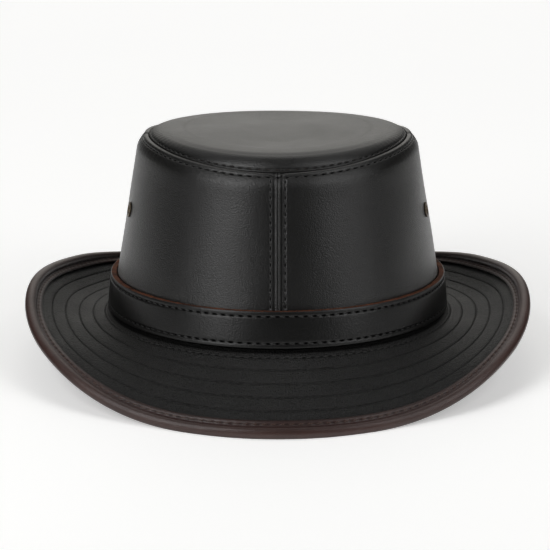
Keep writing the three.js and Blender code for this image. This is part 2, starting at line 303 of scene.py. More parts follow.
def new_node(tree, kind, *inputs, **values):
    """A node with its settings, and its inputs in order or by name."""
    node = tree.nodes.new(kind)
    settings = [key for key in values if hasattr(node, key)]
    for key in settings:
        setattr(node, key, values.pop(key))
    feed(node, dict(enumerate(inputs)))
    feed(node, values)
    return node


def math_node(tree, operation, *inputs, clamp=False):
    node = new_node(tree, "ShaderNodeMath", *inputs, operation=operation, use_clamp=clamp)
    return node.outputs["Value"]


def map_range(tree, value, *limits, **settings):
    """A value moved from between its first two limits to between its last two."""
    return new_node(tree, "ShaderNodeMapRange", value, *limits, **settings).outputs["Result"]


def noise(tree, place, scale, detail, **settings):
    node = new_node(tree, "ShaderNodeTexNoise", Vector=place, Scale=scale, Detail=detail, **settings)
    return node.outputs["Fac"]


def blend(tree, share, dark, light):
    """A colour between two others. A Mix node's colours are its inputs 6 and 7 and its output 2."""
    mix = new_node(tree, "ShaderNodeMix", data_type="RGBA", Factor=share)
    for socket, colour in ((6, dark), (7, light)):
        feed(mix, {socket: colour if isinstance(colour, bpy.types.NodeSocket) else (*colour, 1)})
    return mix.outputs[2]


def roughen(tree, height, depth, strength=1.0):
    """Relief that is finer than the mesh."""
    bump = new_node(tree, "ShaderNodeBump", Strength=strength, Distance=depth, Height=height)
    feed(tree.nodes["Principled BSDF"], {"Normal": bump.outputs["Normal"]})


def new_finish(name):
    """A material, its nodes, its shader, and the place on the piece that a pattern follows."""
    material = bpy.data.materials.new(name)
    material.use_nodes = True
    tree = material.node_tree
    place = new_node(tree, "ShaderNodeTexCoord").outputs["Object"]
    return material, tree, tree.nodes["Principled BSDF"], place


def leather_finish(name, dark, light, worn, grain, depth, gloss, sheen_level, creases=0.1, flecks=0.45):
    """Dyed leather: pebbles of grain of a given size and depth, fine creases between them, and paler worn
    edges. gloss holds the least and the greatest roughness. Shade is painted into needle holes, seams and
    folds: their colour is darker and their shine less."""
    material, tree, shader, place = new_finish(name)
    warp = new_node(tree, "ShaderNodeTexNoise", Vector=place, Scale=1 / (grain * 5), Detail=2.0)
    warped = new_node(
        tree, "ShaderNodeVectorMath", warp.outputs["Color"], (grain, grain, grain), place,
        operation="MULTIPLY_ADD",
    ).outputs["Vector"]
    pebbles = new_node(
        tree, "ShaderNodeTexVoronoi", feature="SMOOTH_F1", Vector=warped, Scale=1 / grain,
        Smoothness=0.6, Randomness=0.9,
    )
    cracks = new_node(
        tree, "ShaderNodeTexVoronoi", feature="DISTANCE_TO_EDGE", Vector=warped, Scale=0.36 / grain,
    )
    between_pebbles = map_range(tree, cracks.outputs["Distance"], 0.0, 0.09, 0.0, creases)
    pores = noise(tree, place, 1.5 / grain, 3.0, Roughness=0.7)
    weight = 0.8
    height = math_node(tree, "MULTIPLY_ADD", pebbles.outputs["Distance"], -weight, between_pebbles)
    height = math_node(tree, "MULTIPLY_ADD", pores, weight, height)
    roughen(tree, height, depth)
    clouds = noise(tree, place, 38.0, 4.0, Roughness=0.6)
    patches = math_node(tree, "MULTIPLY_ADD", height, flecks, clouds, clamp=True)
    wear = new_node(tree, "ShaderNodeAttribute", attribute_name="wear").outputs["Fac"]
    rubbed = math_node(tree, "MULTIPLY", wear, clouds, clamp=True)
    colour = blend(tree, rubbed, blend(tree, patches, dark, light), worn)
    # Painted shade: the shade mark kept on the vertices darkens the colour and lessens the shine.
    painted_shade = new_node(tree, "ShaderNodeAttribute", attribute_name="painted_shade").outputs["Fac"]
    lit = map_range(tree, painted_shade, 0.15, 0.7, 1.0, 0.25)
    shaded = new_node(tree, "ShaderNodeVectorMath", colour, operation="SCALE", Scale=lit)
    feed(shader, {
        "Base Color": shaded.outputs["Vector"],
        "Specular IOR Level": math_node(tree, "MULTIPLY", lit, sheen_level),
        "Roughness": map_range(tree, patches, 0.3, 1.1, gloss[1], gloss[0]),
    })
    return material


def thread_finish(name, dark, light, roughness, sheen_level):
    """Waxed thread, its strands laid round it."""
    material, tree, shader, _ = new_finish(name)
    along = new_node(tree, "ShaderNodeUVMap", uv_map="strand").outputs["UV"]
    strands = new_node(
        tree, "ShaderNodeTexWave", wave_type="BANDS", bands_direction="DIAGONAL", Vector=along,
        Scale=2.2, Distortion=0.6,
    ).outputs["Fac"]
    roughen(tree, strands, 0.0001, strength=0.7)
    feed(shader, {
        "Base Color": blend(tree, strands, dark, light),
        "Roughness": roughness,
        "Specular IOR Level": sheen_level,
    })
    return material


def seam_height(turn):
    """The seam between wall and tip is higher at the sides than in front and behind."""
    return TIP_SEAM["height"] - SEAM_SIDE_RISE * np.cos(2 * turn)


quarter_share = np.arange(CROWN_STEPS) * 4 / CROWN_STEPS
quarter_share -= SEAM_CROWDING * np.sin(math.tau * quarter_share) / math.tau
crown_turn = quarter_share * math.pi / 2

shoulder_run = profile_run(SHOULDER_OUT, SHOULDER_DROP)
down_shoulder = rows_along(0, shoulder_run[-1], ROW_SPACING, [TIP_SEAM_STITCH_OFFSET, 0.0])
drop = column(smooth_curve(down_shoulder, shoulder_run, SHOULDER_DROP))
out = column(smooth_curve(down_shoulder, shoulder_run, SHOULDER_OUT))
shoulder = oval(
    crown_turn, TIP_SEAM["half_width"] + out, TIP_SEAM["half_length"] + out, seam_height(crown_turn) - drop
)
waist = oval(crown_turn, **CROWN_WAIST)
foot = oval(crown_turn, **CROWN_FOOT)
straight_share = (np.arange(STRAIGHT_ROWS) + 1)[:, None, None] / STRAIGHT_ROWS
skirt_share = (np.arange(SKIRT_ROWS) + 1)[:, None, None] / SKIRT_ROWS
straight = shoulder[-1] + straight_share * (waist - shoulder[-1])
skirt = waist + skirt_share * (foot - waist)
wall = np.concatenate([shoulder, straight, skirt])[::-1]
below_tip = path_length(wall[::-1], 0)[::-1]

quarters = wall.reshape(len(wall), 4, -1, 3)
with_next = np.concatenate([quarters, np.roll(quarters, -1, axis=1)[:, :, :1]], axis=2)
from_seam = path_length(with_next, 2)
to_seam = from_seam[:, :, -1:] - from_seam
beside_seam = np.minimum(from_seam, to_seam)[:, :, :-1].reshape(len(wall), -1)

outer_row = int(np.argmin(np.abs(below_tip[:, 0] - TIP_SEAM_STITCH_OFFSET)))
tip_seam_phase = row_phase(wall[outer_row], TIP_SEAM_PITCH)
tip_phase = tip_seam_phase[:-1]
seam_phase = math.tau * below_tip / SEAM_PITCH
side_share = np.sin(crown_turn) ** 2
past_row = below_tip - TIP_SEAM_STITCH_OFFSET
sewn_share = np.clip((past_row - SEAM_ROW_START) / SEAM_ROW_FADE, 0, 1)
wall_relief = rolled_edge(beside_seam, **SEAM_EDGE) + rolled_edge(below_tip, **WALL_EDGE)
wall_relief += swelling(beside_seam, *SEAM_VALLEY)
wall_relief += swelling(beside_seam, *SEAM_DIP) + swelling(beside_seam, *SEAM_LIP)
seam_row = sewn_row(beside_seam - SEAM_STITCH_OFFSET, seam_phase, depth=0.0007, valley=0.15)
wall_relief += sewn_share * seam_row
wall_relief += sewn_row(past_row, tip_phase, depth=0.0009, valley=0.1)
wall_relief += swelling(below_tip, *TIP_SEAM_ROLL)
wall_relief += (1 - side_share) * swelling(below_tip, *BULGE_AT_ENDS)
wall_relief += side_share * swelling(below_tip, *BULGE_AT_SIDES)
under_row = np.exp(-past_row / PUCKER_REACH) * (past_row > 0)
puckered = side_share * np.maximum(swelling(below_tip, *PUCKERS_IN_ROLL), under_row)
wall_relief -= PUCKER * np.cos(tip_phase) * puckered
wall_relief += soft_unevenness(crown_turn, wall[:, :, 2], WALL_UNEVENNESS)
# Painted shade: the needle holes, the crack of each seam and the dip beside it are darkened.
wall_painted_shade = np.maximum.reduce([
    sewn_share * needle_holes(beside_seam - SEAM_STITCH_OFFSET, seam_phase),
    needle_holes(past_row, tip_phase),
    swelling(beside_seam, *SEAM_CRACK_SHADE),
    swelling(beside_seam, *SEAM_DIP_SHADE),
])
wall_normals = outward_normals(wall)
inside = (wall - wall_normals * CROWN_LEATHER)[::-1][::INSIDE_EVERY]
inside[0] = wall[-1] - (0, 0, CROWN_LEATHER)
wall = wall + wall_normals * wall_relief[:, :, None]
wall_normals = outward_normals(wall)

edge_wear = np.exp(-below_tip / TIP_SEAM_WEAR) + np.exp(-beside_seam / SEAM_WEAR)
unmarked = 0 * inside[:, :, 0]
crown = leather_tube(
    "crown_wall", np.concatenate([wall, inside]), closed=True,
    wear=np.concatenate([edge_wear, unmarked]), painted_shade=np.concatenate([wall_painted_shade, unmarked]),
)

crown_finish = leather_finish(
    "black grained cowhide", dark=(0.001, 0.001, 0.001), light=(0.0075, 0.0074, 0.0072),
    worn=(0.02, 0.0195, 0.019), grain=0.0007, depth=0.00013, gloss=(0.26, 0.36), sheen_level=0.55,
    creases=0.0,
)
# The flesh side, which shows inside the crown, is uncoated: short matted fibres, with no shine.
flesh_finish, tree, shader, place = new_finish("flesh side of the crown")
fibres = noise(tree, place, 1400.0, 4.0, Roughness=0.7, Distortion=1.2)
matted = math_node(tree, "MULTIPLY_ADD", fibres, 0.6, noise(tree, place, 45.0, 3.0), clamp=True)
matted = map_range(tree, matted, 0.55, 1.0, 0.0, 1.0)
feed(shader, {
    "Base Color": blend(tree, matted, (0.016, 0.014, 0.012), (0.05, 0.042, 0.035)),
    "Roughness": 0.9,
})
roughen(tree, fibres, 0.0003, strength=0.8)
crown.data.materials.append(crown_finish)
crown.data.materials.append(flesh_finish)
for face in crown.data.polygons:
    middle = face.center
    across = math.hypot(middle.x, middle.y)
    outward = (face.normal.x * middle.x + face.normal.y * middle.y) / across
    looks_in = outward < FLESH_OUTWARD and face.normal.z < FLESH_UPWARD
    face.material_index = 1 if looks_in else 0

QUARTERS = {
    "crown_panel_front_right": (1, -1),
    "crown_panel_back_right": (1, 1),
    "crown_panel_back_left": (-1, 1),
    "crown_panel_front_left": (-1, -1),
}
EYELET_HEIGHT = 0.0776
EYELET_FROM_SIDE = math.radians(14)
EYELET_HOLE = 0.0028
PUNCH_LENGTH = 0.012
PUNCH_SIDES = 32


def eyelet_place(side, end):
    """Middle and outward direction of the wall at an eyelet, with the leather's own lean."""
    turn = math.pi / 2 + end * EYELET_FROM_SIDE
    step = int(np.argmin(np.abs(crown_turn - turn)))
    row = int(np.argmin(np.abs(wall[:, step, 2] - EYELET_HEIGHT)))
    outward = Vector(wall_normals[row, step] * (side, 1, 1)).normalized()
    return Vector(wall[row, step] * (side, 1, 1)), outward


panels = {}
for name, (side, end) in QUARTERS.items():
    bpy.ops.object.select_all(action="DESELECT")
    crown.select_set(True)
    bpy.context.view_layer.objects.active = crown
    bpy.ops.object.mode_set(mode="EDIT")
    bpy.ops.mesh.select_mode(type="FACE")
    bpy.ops.mesh.select_all(action="DESELECT")
    mesh = bmesh.from_edit_mesh(crown.data)
    for face in mesh.faces:
        middle = face.calc_center_median()
        face.select_set(middle.x * side > 0 and middle.y * end > 0)
    bmesh.update_edit_mesh(crown.data)
    if len(mesh.faces) > sum(face.select for face in mesh.faces):
        bpy.ops.mesh.separate(type="SELECTED")
        bpy.ops.object.mode_set(mode="OBJECT")
        panel = next(o for o in bpy.context.selected_objects if o != crown)
    else:
        bpy.ops.object.mode_set(mode="OBJECT")
        panel = crown
    panel.name = name + "_leather"
    panel.data.name = name + "_leather"
    panels[name] = panel

for name, (side, end) in QUARTERS.items():
    panel = panels[name]
    bpy.ops.object.select_all(action="DESELECT")
    panel.select_set(True)
    bpy.context.view_layer.objects.active = panel
    bpy.ops.object.mode_set(mode="EDIT")
    bpy.ops.mesh.select_mode(type="EDGE")
    bpy.ops.mesh.select_all(action="DESELECT")
    bpy.ops.mesh.select_non_manifold()
    bpy.ops.mesh.edge_face_add()
    bpy.ops.object.mode_set(mode="OBJECT")
    bpy.ops.object.shade_smooth_by_angle(angle=SHARP_EDGE)
    middle, outward = eyelet_place(side, end)
    bpy.ops.mesh.primitive_cylinder_add(
        vertices=PUNCH_SIDES, radius=EYELET_HOLE, depth=PUNCH_LENGTH, location=middle,
        rotation=outward.to_track_quat("Z", "Y").to_euler(),
    )
    punch = bpy.context.object
    bpy.context.view_layer.objects.active = panel
    cut = panel.modifiers.new("eyelet hole", "BOOLEAN")
    cut.operation = "DIFFERENCE"
    cut.object = punch
    bpy.ops.object.modifier_apply(modifier=cut.name)
    bpy.data.objects.remove(punch)
    set_down(panel)
    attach(panel, "root")
    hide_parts(name)

crown_lines = [along_line(wall[outer_row], wall_normals[outer_row], tip_seam_phase)]
first_row = int(np.argmin(np.abs(wall[:, 0, 2] - SEAM_ROW_FOOT)))
last_row = int(np.argmin(np.abs(past_row[:, 0] - SEAM_ROW_TOP)))
wall_values = np.concatenate([wall, wall_normals, seam_phase[:, :, None]], axis=2)[first_row:last_row]
for quarter in range(4):
    for ahead in (1, -1):
        steps = (quarter * CROWN_STEPS // 4 + ahead * np.arange(STEPS_BESIDE_SEAM)) % CROWN_STEPS
        line = np.array([
            [np.interp(SEAM_STITCH_OFFSET, across, values) for values in row_values.T]
            for across, row_values in zip(beside_seam[first_row:last_row, steps], wall_values[:, steps])
        ])
        crown_lines.append(along_line(line[:, :3], line[:, 3:6], line[:, 6]))
black_thread = thread_finish(
    "black waxed thread", dark=(0.007, 0.007, 0.0069), light=(0.026, 0.0256, 0.0252), roughness=0.42,
    sheen_level=0.5,
)
crown_stitches = sew(
    "crown_stitches", crown_lines, length=0.0028, thread=0.00033, slant=math.radians(8), finish=black_thread
)
set_down(crown_stitches)
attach(crown_stitches, "root")


# Crown tip
# An oval of the same cowhide, butted into the top of the wall, with a thin ledge of its edge under the
# wall. A row of stitches beside the seam holds it. It puffs up from the seam with small puckers, and its
# middle sinks a little.
TIP_STEPS = 1152
TIP_TOP = 0.117
TIP_SIDE_RISE = 0.001
TIP_EDGE_DROP = 0.0007
TIP_DISH = 0.0004
TIP_INSET = np.array([0.00015, 0.0016, 0.004, 0.008, 0.014, 0.026, 0.048])
TIP_SHARE = np.array([0, 0.32, 0.66, 0.9, 1, 1, 0.94])
TIP_ROWS = np.concatenate([
    np.linspace(0.00015, 0.0026, 18), np.linspace(0.003, 0.0105, 17), np.linspace(0.0115, 0.048, 26),
])
TIP_MIDDLE_ROWS = 15
LAST_RING = 0.004
TIP_STITCH_INSET = 0.0012
TIP_EDGE = {"radius": 0.0006, "depth": 0.0003}
TIP_PUCKER = 0.00008
TIP_PUCKER_START = 0.003
TIP_PUCKER_FADE = 0.005
TIP_WAVE = 0.00025
TIP_WAVE_START = 0.006
TIP_WAVE_GROWTH = 0.02
LOOKS_DOWN = -0.3
TIP_UNDERSIDE_INSETS = np.array([0.048, 0.03, 0.014, 0.006, 0.0025])

# The ledge's profile, in from the seam and below it
TIP_LEDGE = [(0.0018, 0.0044), (-0.0006, 0.0045), (-0.0008, 0.0038), (0.0004, 0.0035)]

tip_turn = np.arange(TIP_STEPS) * math.tau / TIP_STEPS


def tip_rows(insets):
    """The tip's upper face at insets from the seam."""
    inset = column(insets)
    low = seam_height(tip_turn) - TIP_EDGE_DROP
    high = TIP_TOP - TIP_SIDE_RISE * np.cos(2 * tip_turn)
    height = low + column(smooth_curve(insets, TIP_INSET, TIP_SHARE)) * (high - low)
    return oval(tip_turn, TIP_SEAM["half_width"] - inset, TIP_SEAM["half_length"] - inset, height)


tip_top = tip_rows(TIP_ROWS)
tip_centre = np.array([0, 0, TIP_TOP - TIP_DISH])
towards_middle = np.linspace(1, LAST_RING, TIP_MIDDLE_ROWS + 1)[1:, None, None]
shrinking = np.concatenate([towards_middle, towards_middle, towards_middle**2], axis=2)
tip_top = np.concatenate([tip_top, tip_centre + (tip_top[-1] - tip_centre) * shrinking])
from_edge = path_length(tip_top, 0)
tip_row = int(np.argmin(np.abs(from_edge[:, 0] - TIP_STITCH_INSET)))
tip_row_phase = row_phase(tip_top[tip_row], TIP_SEAM_PITCH)
pucker_phase = tip_row_phase[:-1]
tip_side_share = np.sin(tip_turn) ** 2
tip_relief = rolled_edge(from_edge, **TIP_EDGE)
tip_relief += sewn_row(from_edge - TIP_STITCH_INSET, pucker_phase, depth=0.0006)
puckered = np.exp(-np.clip(from_edge - TIP_PUCKER_START, 0, 1) / TIP_PUCKER_FADE) * tip_side_share**2
tip_relief -= TIP_PUCKER * np.cos(pucker_phase) * puckered * (from_edge > TIP_STITCH_INSET)
settled = TIP_WAVE * np.clip((from_edge - TIP_WAVE_START) / TIP_WAVE_GROWTH, 0, 1)
tip_relief += settled * np.sin(62 * tip_top[:, :, 0] + 0.8) * np.sin(48 * tip_top[:, :, 1] + 0.3)
tip_relief[-1] = tip_relief[-1].mean()
# Painted shade in the needle holes of the tip's row.
tip_painted_shade = needle_holes(from_edge - TIP_STITCH_INSET, pucker_phase)
tip_top = tip_top + outward_normals(tip_top) * tip_relief[:, :, None]
tip_top[-1, :, 2] = tip_top[-1, :, 2].mean()
tip_normals = outward_normals(tip_top)
ledge_inset, ledge_depth = (column(values) for values in zip(*TIP_LEDGE))
tip_ledge = oval(
    tip_turn, TIP_SEAM["half_width"] - ledge_inset, TIP_SEAM["half_length"] - ledge_inset,
    seam_height(tip_turn) - ledge_depth,
)
tip_under = np.concatenate([tip_rows(TIP_UNDERSIDE_INSETS) - (0, 0, CROWN_LEATHER), tip_ledge])
under_middle = tip_under[:1] * (LAST_RING, LAST_RING, 1)
unmarked = np.zeros((len(tip_under) + 1, TIP_STEPS))
tip = leather_tube(
    "crown_tip_leather", np.concatenate([under_middle, tip_under, tip_top]), closed=False,
    wear=np.concatenate([unmarked, np.exp(-from_edge / TIP_SEAM_WEAR)]),
    painted_shade=np.concatenate([unmarked, tip_painted_shade]),
)
bpy.ops.object.mode_set(mode="EDIT")
bpy.ops.mesh.select_mode(type="VERT")
for end_row in (0, len(tip_under) + len(tip_top)):
    bpy.ops.mesh.select_all(action="DESELECT")
    mesh = bmesh.from_edit_mesh(tip.data)
    row_layer = mesh.verts.layers.int["row"]
    for vertex in mesh.verts:
        vertex.select_set(vertex[row_layer] == end_row)
    bmesh.update_edit_mesh(tip.data)
    bpy.ops.mesh.merge(type="CENTER")
bpy.ops.object.mode_set(mode="OBJECT")
tip.data.materials.append(crown_finish)
tip.data.materials.append(flesh_finish)
for face in tip.data.polygons:
    face.material_index = 1 if face.normal.z < LOOKS_DOWN else 0
set_down(tip)
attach(tip, "root")
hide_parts("crown_tip")
tip_line = along_line(tip_top[tip_row], tip_normals[tip_row], tip_row_phase)
tip_stitches = sew(
    "tip_stitches", [tip_line], length=0.0028, thread=0.0003, slant=math.radians(7), finish=black_thread
)
set_down(tip_stitches)
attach(tip_stitches, "root")


# Air eyelets
# Four brass rings in two parts, pressed through the wall beside the side seams: a flange that is rolled
# over round its hole, and a barrel behind it. The brass is darkened, with bare patches and fine pits.
EYELET_SIDES = 40

# Radii and heights of the ring, from the barrel's end over the flange and back into the hole
EYELET_PROFILE = [
    (0.0019, -0.0023), (0.0026, -0.0023), (0.0026, -0.0002), (0.0038, -0.0001), (0.004, 0.0002),
    (0.00395, 0.0005), (0.0036, 0.0007), (0.0031, 0.0008), (0.0026, 0.00075), (0.0022, 0.0006),
    (0.00195, 0.0003), (0.0019, -0.0001),
]

brass, tree, shader, place = new_finish("antiqued brass")
patches = noise(tree, place, 900.0, 4.0, Roughness=0.65)
bare_share = map_range(tree, patches, 0.35, 0.68, 0.0, 1.0)
feed(shader, {
    "Base Color": blend(tree, bare_share, (0.03, 0.023, 0.016), (0.21, 0.165, 0.115)),
    "Roughness": map_range(tree, patches, 0.3, 0.7, 0.55, 0.34),
    "Metallic": 0.9,
})
roughen(tree, patches, 0.00008, strength=0.4)
EYELETS = {
    "eyelet_right_front": (1, -1),
    "eyelet_right_back": (1, 1),
    "eyelet_left_back": (-1, 1),
    "eyelet_left_front": (-1, -1),
}
ring_turn = np.arange(EYELET_SIDES) * math.tau / EYELET_SIDES
ring_rows = np.stack([oval(ring_turn, radius, radius, height) for radius, height in EYELET_PROFILE])
for name, (side, end) in EYELETS.items():
    middle, outward = eyelet_place(side, end)
    ring = leather_tube(name + "_ring", ring_rows, closed=True)
    turn = outward.to_track_quat("Z", "Y").to_matrix().to_4x4()
    ring.data.transform(Matrix.Translation(middle) @ turn)
    ring.data.materials.append(brass)
    set_down(ring)
    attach(ring, "root")
    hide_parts(name)


# Hat band
# A plain strap of smooth black leather, three millimetres thick, laid round the foot of the crown. Both
# edges are stitched and bevelled, and the cut upper edge shows the undyed red-brown core of the hide.
BAND_STEPS = 1152
BAND_GAP = 0.0003
BAND_BOTTOM = 0.0236
BAND_TOP = 0.0414
BAND_THICKNESS = 0.003
BAND_ROW_FROM_EDGE = 0.0024
BAND_PITCH = 0.00465
# The bevel's profile, up from the edge and in from the face
BAND_BEVEL = [(0.0, 0.00025), (0.0001, 0.0001), (0.00025, 0.0)]
BAND_FLAT_FROM_EDGE = 0.0009
BAND_FOOT_GROW = 0.0012
CUT_EDGE_INSETS = (0.0008, 0.0012, 0.0016, 0.002, 0.0024, 0.0028)
CUT_EDGE_FRAY = 0.00005
BAND_BACK = [(BAND_TOP - 0.0003, BAND_GAP), (BAND_BOTTOM + 0.001, BAND_GAP)]
BAND_FACE_DEPTH = 0.0004
BAND_PUFF = 0.00015
BAND_WEAR = 0.0005
# Painted shade along the band's lower edge: how dark, where, and how wide.
BAND_FOOT_SHADE = (0.6, 0, 0.00035)

band_turn = np.arange(BAND_STEPS) * math.tau / BAND_STEPS


def wall_oval(height, grow):
    """The wall at the band's and the brim's heights, carried on in its own slope, and grown outwards."""
    share = (height - CROWN_FOOT["height"]) / (CROWN_WAIST["height"] - CROWN_FOOT["height"])
    grown = {
        size: CROWN_FOOT[size] + share * (CROWN_WAIST[size] - CROWN_FOOT[size]) + grow
        for size in ("half_width", "half_length")
    }
    return {**grown, "height": height}


band_out = BAND_GAP + BAND_THICKNESS
band_rows = (BAND_BOTTOM + BAND_ROW_FROM_EDGE, BAND_TOP - BAND_ROW_FROM_EDGE)
face_heights = rows_along(
    BAND_BOTTOM + BAND_FLAT_FROM_EDGE, BAND_TOP - BAND_FLAT_FROM_EDGE, ROW_SPACING, band_rows
)
section = [(BAND_BOTTOM, BAND_GAP), (BAND_BOTTOM, BAND_GAP + BAND_FOOT_GROW)]
section += [(BAND_BOTTOM + up, band_out - inset) for up, inset in BAND_BEVEL]
section += [(height, band_out) for height in face_heights]
section += [(BAND_TOP - up, band_out - inset) for up, inset in BAND_BEVEL[::-1]]
cut_from = len(section) - 1
section += [(BAND_TOP, band_out - inset) for inset in CUT_EDGE_INSETS]
cut_to = len(section)
section += BAND_BACK
band_rings = np.stack([oval(band_turn, **wall_oval(height, grow)) for height, grow in section])
heights, grows = (column(values) for values in zip(*section))
face_share = (grows > band_out - BAND_FACE_DEPTH) * 1.0
band_row_phase = row_phase(band_rings[len(section) // 2], BAND_PITCH)
band_phase = band_row_phase[:-1]
band_relief = np.zeros(band_rings.shape[:2])
# Painted shade: the band's lower edge and its needle holes are darkened in colour and shine.
band_painted_shade = swelling(heights - BAND_BOTTOM, *BAND_FOOT_SHADE)
for row_height in band_rows:
    band_relief += sewn_row(heights - row_height, band_phase, depth=0.0011, valley=0.12)
    band_painted_shade = np.maximum(band_painted_shade, needle_holes(heights - row_height, band_phase))
middle_share = np.clip((heights - BAND_BOTTOM) / (BAND_TOP - BAND_BOTTOM), 0, 1)
band_relief += BAND_PUFF * np.sqrt(np.maximum(np.sin(math.pi * middle_share), 0))
band_relief *= face_share
band_rings = band_rings + outward_normals(band_rings) * band_relief[:, :, None]
fray = CUT_EDGE_FRAY * (np.sin(311 * band_turn) + np.sin(173 * band_turn + 1.3))
band_rings[cut_from:cut_to, :, 2] += fray
band_normals = outward_normals(band_rings)
band_wear = np.exp(-np.minimum(heights - BAND_BOTTOM, BAND_TOP - heights) / BAND_WEAR)
band = leather_tube(
    "hat_band_strap", band_rings, closed=True, wear=band_wear, painted_shade=band_painted_shade * face_share
)

band_finish = leather_finish(
    "smooth black strap leather", dark=(0.0008, 0.0008, 0.0008), light=(0.004, 0.004, 0.0039),
    worn=(0.012, 0.0118, 0.0115), grain=0.0009, depth=0.00008, gloss=(0.28, 0.38), sheen_level=0.42,
)
# The cut edge is layers of undyed fibres, stained darker in places.
raw_finish, tree, shader, place = new_finish("raw cut edge")
fibres = noise(tree, place, 1500.0, 4.0, Roughness=0.7)
stained = math_node(tree, "MULTIPLY", fibres, noise(tree, place, 120.0, 3.0))
undyed_share = map_range(tree, stained, 0.12, 0.42, 0.0, 1.0)
feed(shader, {
    "Base Color": blend(tree, undyed_share, (0.014, 0.007, 0.005), (0.2, 0.07, 0.035)),
    "Roughness": 0.8,
    "Specular IOR Level": 0.15,
})
roughen(tree, fibres, 0.0003)
band.data.materials.append(band_finish)
band.data.materials.append(raw_finish)
band_row_of = rows_of(band)
for face in band.data.polygons:
    on_cut_edge = all(cut_from <= band_row_of[corner] <= cut_to for corner in face.vertices)
    face.material_index = 1 if on_cut_edge else 0
set_down(band)
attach(band, "root")
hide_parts("hat_band")
band_lines = []
for row_height in band_rows:
    row = int(np.argmin(np.abs(heights[:, 0] - row_height) + (1 - face_share[:, 0])))
    band_lines.append(along_line(band_rings[row], band_normals[row], band_row_phase))
band_stitches = sew(
    "band_stitches", band_lines, length=0.003, thread=0.00033, slant=math.radians(-8), finish=black_thread
)
set_down(band_stitches)
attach(band_stitches, "root")


# Brim
# Two layers of matt black leather quilted together by four rows of small stitches, so that the upper
# layer puffs between them. Its collar stands up round the crown behind the band, sewn at the root.
BRIM_STEPS = 720
ROOT = {"half_width": 0.0916, "half_length": 0.1116, "height": 0.0199}
COLLAR_TOP = 0.0232
COLLAR_BOTTOM = 0.0174
COLLAR_THICKNESS = 0.0011
# The collar's fold, in heights and how far out from the wall
COLLAR_FOLD = [(0.0204, 0.0034), (0.0209, 0.0029), (0.0213, 0.0018)]
COLLAR_HEIGHTS = (0.0218, 0.0224, COLLAR_TOP)
WIDTH_FRONT = 0.0442
WIDTH_SIDE = 0.0449
QUILT_ROWS = 4
QUILT_SPACING = 0.00736
QUILT_STEPS = np.array([
    0, 0.025, 0.05, 0.075, 0.11, 0.15, 0.18, 0.2, 0.22, 0.25, 0.32, 0.5, 0.68, 0.82, 0.89, 0.925, 0.95,
    0.975,
])
STEPS_PAST_QUILT = np.array([0, 0.025, 0.05, 0.075, 0.15])
QUILT_PITCH = 0.0045
QUILT_LOW = 0.0002
QUILT_PUFF = 0.0006
QUILT_GROOVE = (-0.0003, 0, 0.00024)
ROOT_ROW = 0.0009
ROOT_PITCH = 0.0044
UNDERSIDE = -0.0018
UNDERSIDE_PUFF = 0.5
BINDING_MARGIN = 0.009
STEPS_AT_MARGIN = np.array([-0.0042, -0.0024, -0.001, 0, 0.0012])
TUCK = 0.003
TUCKED_HEIGHT = 0.0001
EDGE_INSET = 0.0016
BINDING_LEATHER = 0.0009
PIECE_GAP = 0.0003
LEAST_OVER_TABLE = 0.0001
SLOPE_STEP = math.radians(30)
SLOPE_AT_COLLAR = np.radians([-53, -46.5, -25, -8, -20, -16, -12])
SLOPE_AT_EDGE = np.radians([-45.5, -41, 9, 45, 58, 25, 12])

brim_turn = np.arange(BRIM_STEPS) * math.tau / BRIM_STEPS


def brim_slope(turn, table):
    """Slope of the brim, the same left and right, in a smooth curve from front to back."""
    last = len(table) - 1
    from_front = math.pi - np.abs(math.pi - turn % math.tau)
    row = np.minimum(np.floor(from_front / SLOPE_STEP).astype(int), last - 1)
    share = from_front / SLOPE_STEP - row
    before, low, high, after = (table[last - np.abs(last - np.abs(row + move))] for move in (-1, 0, 1, 2))
    bend = (3 * (low - high) + after - before) * share**3
    lift = (2 * before - 5 * low + 4 * high - after) * share**2
    return low + 0.5 * (bend + lift + (high - before) * share)


def brim_width(turn):
    return WIDTH_FRONT + (WIDTH_SIDE - WIDTH_FRONT) * np.sin(turn) ** 2


def brim_rings(turn, distances, heights):
    """Rings of the brim at distances out from its root, and at heights square to the leather."""
    first = brim_slope(turn, SLOPE_AT_COLLAR)
    bend = (brim_slope(turn, SLOPE_AT_EDGE) - first) / brim_width(turn)
    slope = first + bend * distances
    reach = (np.sin(slope) - np.sin(first)) / bend - heights * np.sin(slope)
    rise = (np.cos(first) - np.cos(slope)) / bend + heights * np.cos(slope)
    outward = np.stack([np.sin(turn) / ROOT["half_width"], -np.cos(turn) / ROOT["half_length"]], axis=-1)
    outward /= np.linalg.norm(outward, axis=-1, keepdims=True)
    root = oval(turn, ROOT["half_width"], ROOT["half_length"], ROOT["height"])
    rings = root + np.zeros((*reach.shape, 3))
    rings[:, :, :2] += reach[:, :, None] * outward
    rings[:, :, 2] += rise
    return rings


def quilted(distance):
    """Height of the upper layer: low in the sewn rows, puffed between them."""
    between = np.abs(2 * ((distance / QUILT_SPACING) % 1) - 1)
    puff = QUILT_LOW + (QUILT_PUFF - QUILT_LOW) * (1 - between**5)
    nearest = np.abs(distance - np.maximum(np.rint(distance / QUILT_SPACING), 1) * QUILT_SPACING)
    return puff + swelling(nearest, *QUILT_GROOVE)


